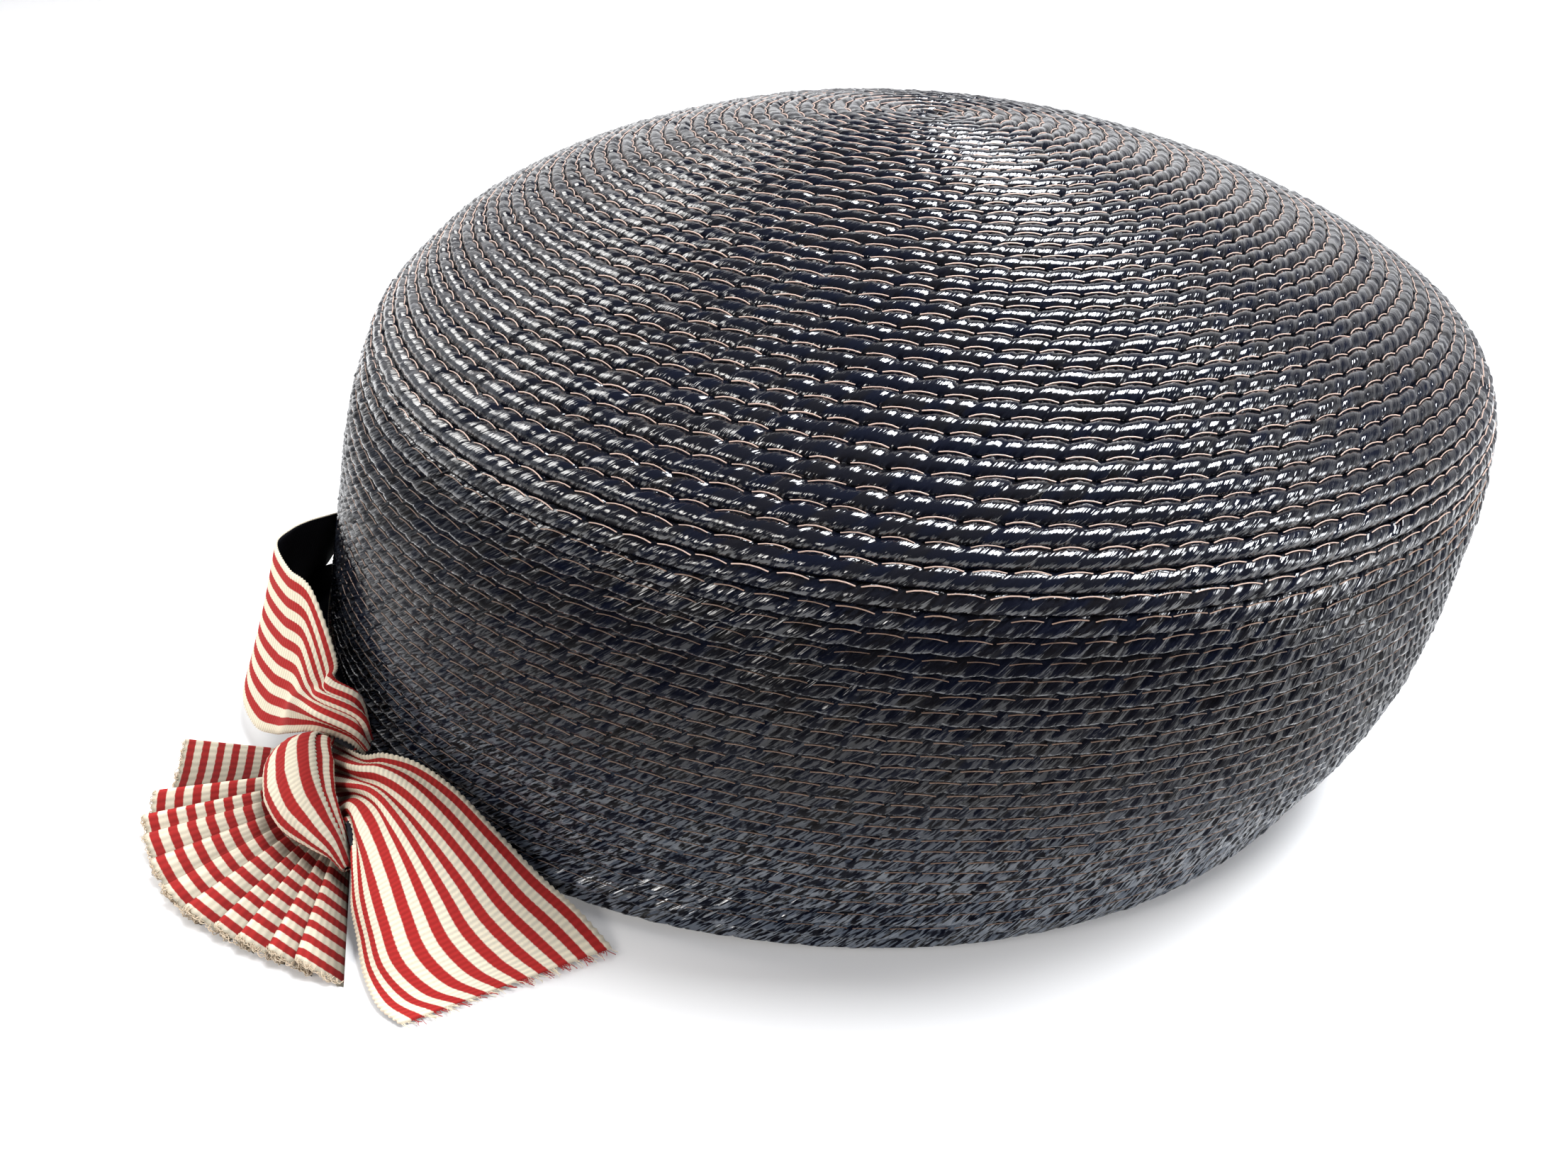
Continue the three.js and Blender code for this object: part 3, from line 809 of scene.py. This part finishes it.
def ribbonWeave():                          # stripes and ribs, from the ribbon's own length and width
    shape = ribbonShape
    tree = bpy.data.node_groups.new("ribbonWeave", "ShaderNodeTree")
    for label in ("Stripe", "Rib", "Grain"):
        tree.interface.new_socket(label, in_out="OUTPUT", socket_type="NodeSocketFloat")
    made = nodeOf(tree, "NodeGroupOutput")
    uv = nodeOf(tree, "ShaderNodeUVMap", uv_map="UVMap")
    split = nodeOf(tree, "ShaderNodeSeparateXYZ")
    tree.links.new(uv.outputs["UV"], split.inputs[0])
    grain = nodeOf(tree, "ShaderNodeTexNoise")
    grain.inputs["Scale"].default_value = 2.6
    grain.inputs["Detail"].default_value = 2.0
    tree.links.new(uv.outputs["UV"], grain.inputs["Vector"])
    wobble = chain(tree, ("SUBTRACT", grain.outputs["Fac"], 0.5), ("MULTIPLY", None, 0.25))
    middle = 0.5 - shape["stripeWidth"] / shape["stripePitch"] / 2
    share = chain(tree, ("ADD", split.outputs["Y"], wobble), ("SUBTRACT", None, shape["stripeStart"]),
                  ("DIVIDE", None, shape["stripePitch"]), ("ADD", None, middle), ("FRACT", None, None),
                  ("SUBTRACT", None, 0.5), ("ABSOLUTE", None, None))
    stripe = nodeOf(tree, "ShaderNodeMapRange", interpolation_type="SMOOTHSTEP")
    stripe.inputs["From Min"].default_value = shape["stripeWidth"] / shape["stripePitch"] / 2 + 0.03
    stripe.inputs["From Max"].default_value = shape["stripeWidth"] / shape["stripePitch"] / 2 - 0.03
    tree.links.new(share, stripe.inputs["Value"])
    rib = chain(tree, ("MULTIPLY", split.outputs["X"], 2 * math.pi / shape["ribPitch"]),
                ("COSINE", None, None), ("MULTIPLY_ADD", None, 0.5))
    rib.node.inputs[2].default_value = 0.5
    tree.links.new(stripe.outputs[0], made.inputs["Stripe"])
    tree.links.new(rib, made.inputs["Rib"])
    tree.links.new(grain.outputs["Fac"], made.inputs["Grain"])
    return tree


def ribbonMaterial(name, striped):
    material, tree, shader = newMaterial(name)
    link = tree.links.new
    weave = nodeOf(tree, "ShaderNodeGroup")
    weave.node_tree = bpy.data.node_groups.get("ribbonWeave") or ribbonWeave()
    colour = nodeOf(tree, "ShaderNodeMix", data_type="RGBA")
    colour.inputs["A"].default_value = ribbonLook["cream" if striped else "back"]
    colour.inputs["B"].default_value = ribbonLook["red" if striped else "back"]
    link(weave.outputs["Stripe"], colour.inputs["Factor"])
    shade = chain(tree, ("MULTIPLY_ADD", weave.outputs["Rib"], 0.22),
                  ("MULTIPLY_ADD", weave.outputs["Grain"], 0.16))
    shade.node.inputs[2].default_value = 0
    first = shade.node
    low = nodeOf(tree, "ShaderNodeMath", operation="MULTIPLY_ADD")
    link(weave.outputs["Rib"], low.inputs[0])
    low.inputs[1].default_value = 0.22
    low.inputs[2].default_value = 0.72
    link(low.outputs[0], first.inputs[2])
    tint = nodeOf(tree, "ShaderNodeMix", data_type="RGBA", blend_type="MULTIPLY")
    tint.inputs["Factor"].default_value = 1
    link(colour.outputs["Result"], tint.inputs["A"])
    # the attribute shade is painted shade; it darkens the stripes' colour in the folds
    fold = nodeOf(tree, "ShaderNodeAttribute", attribute_name="shade")
    both = nodeOf(tree, "ShaderNodeMath", operation="MULTIPLY")
    link(shade, both.inputs[0])
    link(fold.outputs["Fac"], both.inputs[1])
    link(both.outputs[0], tint.inputs["B"])
    link(tint.outputs["Result"], shader.inputs["Base Color"])
    bump = nodeOf(tree, "ShaderNodeBump")
    bump.inputs["Strength"].default_value = 0.6
    bump.inputs["Distance"].default_value = 0.0001
    link(shade, bump.inputs["Height"])
    link(bump.outputs["Normal"], shader.inputs["Normal"])
    shader.inputs["Roughness"].default_value = 0.85
    shader.inputs["Specular IOR Level"].default_value = 0.12
    return material


def floorMaterial():
    material, _, shader = newMaterial("paleFloor")
    shader.inputs["Base Color"].default_value = (0.80, 0.79, 0.775, 1)
    shader.inputs["Roughness"].default_value = 0.65
    # the floor glows faintly of its own: painted light that lifts its shadows and fills the hat from
    # below
    shader.inputs["Emission Color"].default_value = (1.0, 0.985, 0.965, 1)
    shader.inputs["Emission Strength"].default_value = 0.17
    return material


# build

strawCells = plaitCells()
cellCount = len(strawCells["start"])
navyStraw = strawMaterial()
bounds = np.linspace(0, cellCount, crownShape["pieces"] + 1).astype(int)
bounds -= bounds % 2
plaitPieces = []
for number in range(crownShape["pieces"]):
    label = f"crown_plait_{number + 1}"
    plaitPieces.append(makePlait(strawCells, bounds[number], bounds[number + 1], label, navyStraw))
print("plait", cellCount, "crossings", [len(piece.data.polygons) * 2 for piece in plaitPieces])
# the stitches on the side rows get the darker copy of the thread: painted shade
stitches = makeThreads(strawCells, threadMaterial("sewingThread", threadLook["top"], threadLook["sewn"]),
                       threadMaterial("sewingThreadShaded", threadLook["side"], threadLook["sewn"]))
print("stitches", [len(piece.data.polygons) for piece in stitches])
for piece in plaitPieces + stitches:
    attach(piece, "root")
    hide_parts("crown")

ribbonFace = ribbonMaterial("ribbonStripes", True)
ribbonBack = ribbonMaterial("ribbonBack", False)
# each strip: the face that is striped, the width of stripes that shows, and its width as given;
# the ribbon is cut 38 mm wide, but only 23.2 mm of the back tail's width is built
sheets = [
    ("bow_loop", bandSurface(loopRows), -1, 30.6, 38, loopShade),
    ("bow_back_tail", bandSurface(backTailRows), 1, 23.2, 23.2, plainShade),
    ("bow_tail", tailSurface, 1, 38, 38, tailShade),
    ("bow_knot", knotSurface, 1, 38, 38, knotShade),
    ("pleated_fan", fanSurface, -1, 38, 38, fanShade),
]
for name, surface, faces, shown, declared, shading in sheets:
    piece, length = ribbonSheet(name + "_ribbon", surface, faces, shown, shading)
    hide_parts(name)


# loose ends: frayed threads at the tail's cut end and the fuzzy selvedge of the fan

def edgeFrames(surface, t, v):              # points on a ribbon with its directions along and across
    points, along, across = (np.empty((len(t), 3)) for _ in range(3))
    for k in range(len(t)):
        ts = np.clip([t[k] - 0.004, t[k] + 0.004], 0, 1)
        vs = np.clip([v[k] - 0.01, v[k] + 0.01], 0, 1)
        patch = surface(ts, vs)
        points[k] = patch.mean((0, 1))
        along[k] = (patch[1] - patch[0]).mean(0)
        across[k] = (patch[:, 1] - patch[:, 0]).mean(0)
    return points, unit(along), unit(across)


fuzzShape = {"frayed": 190, "looped": 700, "lowest": 1.2, "seed": 3}


def looseEnds():
    dice = np.random.default_rng(fuzzShape["seed"])
    count = fuzzShape["frayed"]
    v = np.sort(dice.uniform(0.005, 0.995, count))
    points, along, across = edgeFrames(tailSurface, np.ones(count), v)
    x = unit(along + across * dice.normal(0, 0.3, count)[:, None] + dice.normal(0, 0.12, (count, 3)))
    x = unit(x * [1, 1, 0.2])
    z = unit(np.cross(x, across))
    y = np.cross(z, x)
    reach = dice.uniform(0.35, 1.0, count) ** 1.5
    points = points + x * (reach * 1.3 - 0.3)[:, None]
    sizes = np.stack([reach, dice.uniform(-0.5, 0.5, count), np.ones(count)], 1)
    offset = (v * ribbonShape["width"] - ribbonShape["stripeStart"]) / ribbonShape["stripePitch"] % 1
    red = offset < ribbonShape["stripeWidth"] / ribbonShape["stripePitch"]
    values = {"Stitch Length": 2.8 * mm, "Thread Radius": 0.13 * mm, "Bulge": 0.7 * mm}
    made = []
    for label, chosen in (("red", red), ("cream", ~red)):
        parts = (a[chosen] for a in (points, x, y, z, sizes))
        yarn = threadMaterial(label + "Yarn", ribbonLook[label], threadLook["loose"])
        made.append((scatterArcs("tail_fray_" + label, *parts, values, yarn), "bow_tail"))
    count = fuzzShape["looped"]
    t = np.sort(dice.uniform(0.003, 0.997, count))
    points, along, across = edgeFrames(fanSurface, t, np.ones(count))
    x = unit(along + across * dice.normal(0, 0.5, count)[:, None] + dice.normal(0, 0.3, (count, 3)))
    z = unit(np.cross(x, across * [1, 1, 0.3]))
    y = np.cross(z, x)
    points = points + dice.normal(0, 0.15, (count, 3))
    points[:, 2] = np.maximum(points[:, 2], fuzzShape["lowest"])
    sizes = np.stack([dice.uniform(0.6, 1.2, count), dice.uniform(0.4, 1.2, count), np.ones(count)], 1)
    values = {"Stitch Length": 1.3 * mm, "Thread Radius": 0.09 * mm, "Bulge": 1.5 * mm}
    yarn = threadMaterial("selvedgeYarn", threadLook["selvedge"], threadLook["loose"])
    made.append((scatterArcs("fan_selvedge", points, x, y, z, sizes, values, yarn), "pleated_fan"))
    return made


for piece, node in looseEnds():
    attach(piece, "root")
    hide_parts(node)


# floor, light and camera

def makeStage():
    width, depth, rise = 3.0, 0.9, 1.6
    bend = 0.35
    profile = [(-2.2, 0.0), (depth, 0.0)]
    for step in range(1, 9):
        angle = step / 8 * math.pi / 2
        profile.append((depth + bend * math.sin(angle), bend * (1 - math.cos(angle))))
    profile.append((depth + bend + 0.02, rise))
    points = [(x * 1000, y * 1000, z * 1000) for y, z in profile for x in (-width, width)]
    points = np.array(points, float) - hatShift
    faces = [(2 * k, 2 * k + 1, 2 * k + 3, 2 * k + 2) for k in range(len(profile) - 1)]
    meshPiece("stage_floor", points, faces, [floorMaterial()])


makeStage()


def areaLight(name, place, target, size, watts, colour):
    data = bpy.data.lights.new(name, "AREA")
    data.shape = "RECTANGLE"
    data.size, data.size_y = size
    data.energy = watts
    data.color = colour
    lamp = bpy.data.objects.new(name, data)
    direction = Vector(place) - Vector(target)
    lamp.rotation_euler = direction.to_track_quat("Z", "Y").to_euler()
    lamp.location = place
    bpy.context.scene.collection.objects.link(lamp)


areaLight("lamp", (0.36, 0.06, 1.12), (0.0, 0.0, 0.05), (0.56, 0.46), 28, (0.93, 0.96, 1.0))
areaLight("side", (-1.0, 0.25, 0.75), (0.0, 0.0, 0.05), (0.7, 0.5), 9, (1.0, 0.985, 0.96))
areaLight("front", (-0.60, -0.80, 0.60), (-0.08, -0.08, 0.02), (0.3, 0.3), 4.0, (1.0, 0.97, 0.93))
areaLight("window", (0.95, -0.25, 0.30), (0.0, 0.0, 0.06), (0.22, 0.34), 3.5, (0.95, 0.97, 1.0))


def makeWorld():
    world = bpy.data.worlds.new("softRoom")
    bpy.context.scene.world = world
    world.use_nodes = True
    tree = world.node_tree
    link = tree.links.new
    back = tree.nodes["Background"]
    where = nodeOf(tree, "ShaderNodeTexCoord")
    split = nodeOf(tree, "ShaderNodeSeparateXYZ")
    link(where.outputs["Generated"], split.inputs[0])
    depth = nodeOf(tree, "ShaderNodeMapRange", interpolation_type="SMOOTHSTEP")
    depth.inputs["From Min"].default_value = -0.5
    depth.inputs["From Max"].default_value = 0.15
    link(split.outputs["Y"], depth.inputs["Value"])
    height = nodeOf(tree, "ShaderNodeMapRange", interpolation_type="SMOOTHSTEP")
    height.inputs["From Min"].default_value = 0.62
    height.inputs["From Max"].default_value = 0.30
    link(split.outputs["Z"], height.inputs["Value"])
    most = nodeOf(tree, "ShaderNodeMath", operation="MULTIPLY")
    link(depth.outputs[0], most.inputs[0])
    link(height.outputs[0], most.inputs[1])
    colour = nodeOf(tree, "ShaderNodeMix", data_type="RGBA")
    colour.inputs["A"].default_value = (0.085, 0.10, 0.15, 1)
    colour.inputs["B"].default_value = (0.78, 0.82, 0.88, 1)
    link(most.outputs[0], colour.inputs["Factor"])
    link(colour.outputs["Result"], back.inputs["Color"])
    back.inputs["Strength"].default_value = 1.0


makeWorld()


def makeCamera():
    place = np.array([10.0, -272.1, 171.1]) + hatShift
    yaw, pitch, roll = 0.1301, 0.5343, 0.0603
    level = math.cos(pitch)
    forward = np.array([-math.sin(yaw) * level, math.cos(yaw) * level, -math.sin(pitch)])
    right = np.array([math.cos(yaw), math.sin(yaw), 0.0])
    up = np.cross(right, forward)
    side = math.cos(roll) * right + math.sin(roll) * up
    top = -math.sin(roll) * right + math.cos(roll) * up
    data = bpy.data.cameras.new("camera")
    data.sensor_width = 36
    data.lens = 28.67
    data.clip_start = 0.01
    camera = bpy.data.objects.new("camera", data)
    turn = Matrix((side, top, -forward)).transposed().to_4x4()
    camera.matrix_world = Matrix.Translation(place * mm) @ turn
    bpy.context.scene.collection.objects.link(camera)
    bpy.context.scene.camera = camera


makeCamera()
bpy.context.scene.view_settings.view_transform = "Standard"
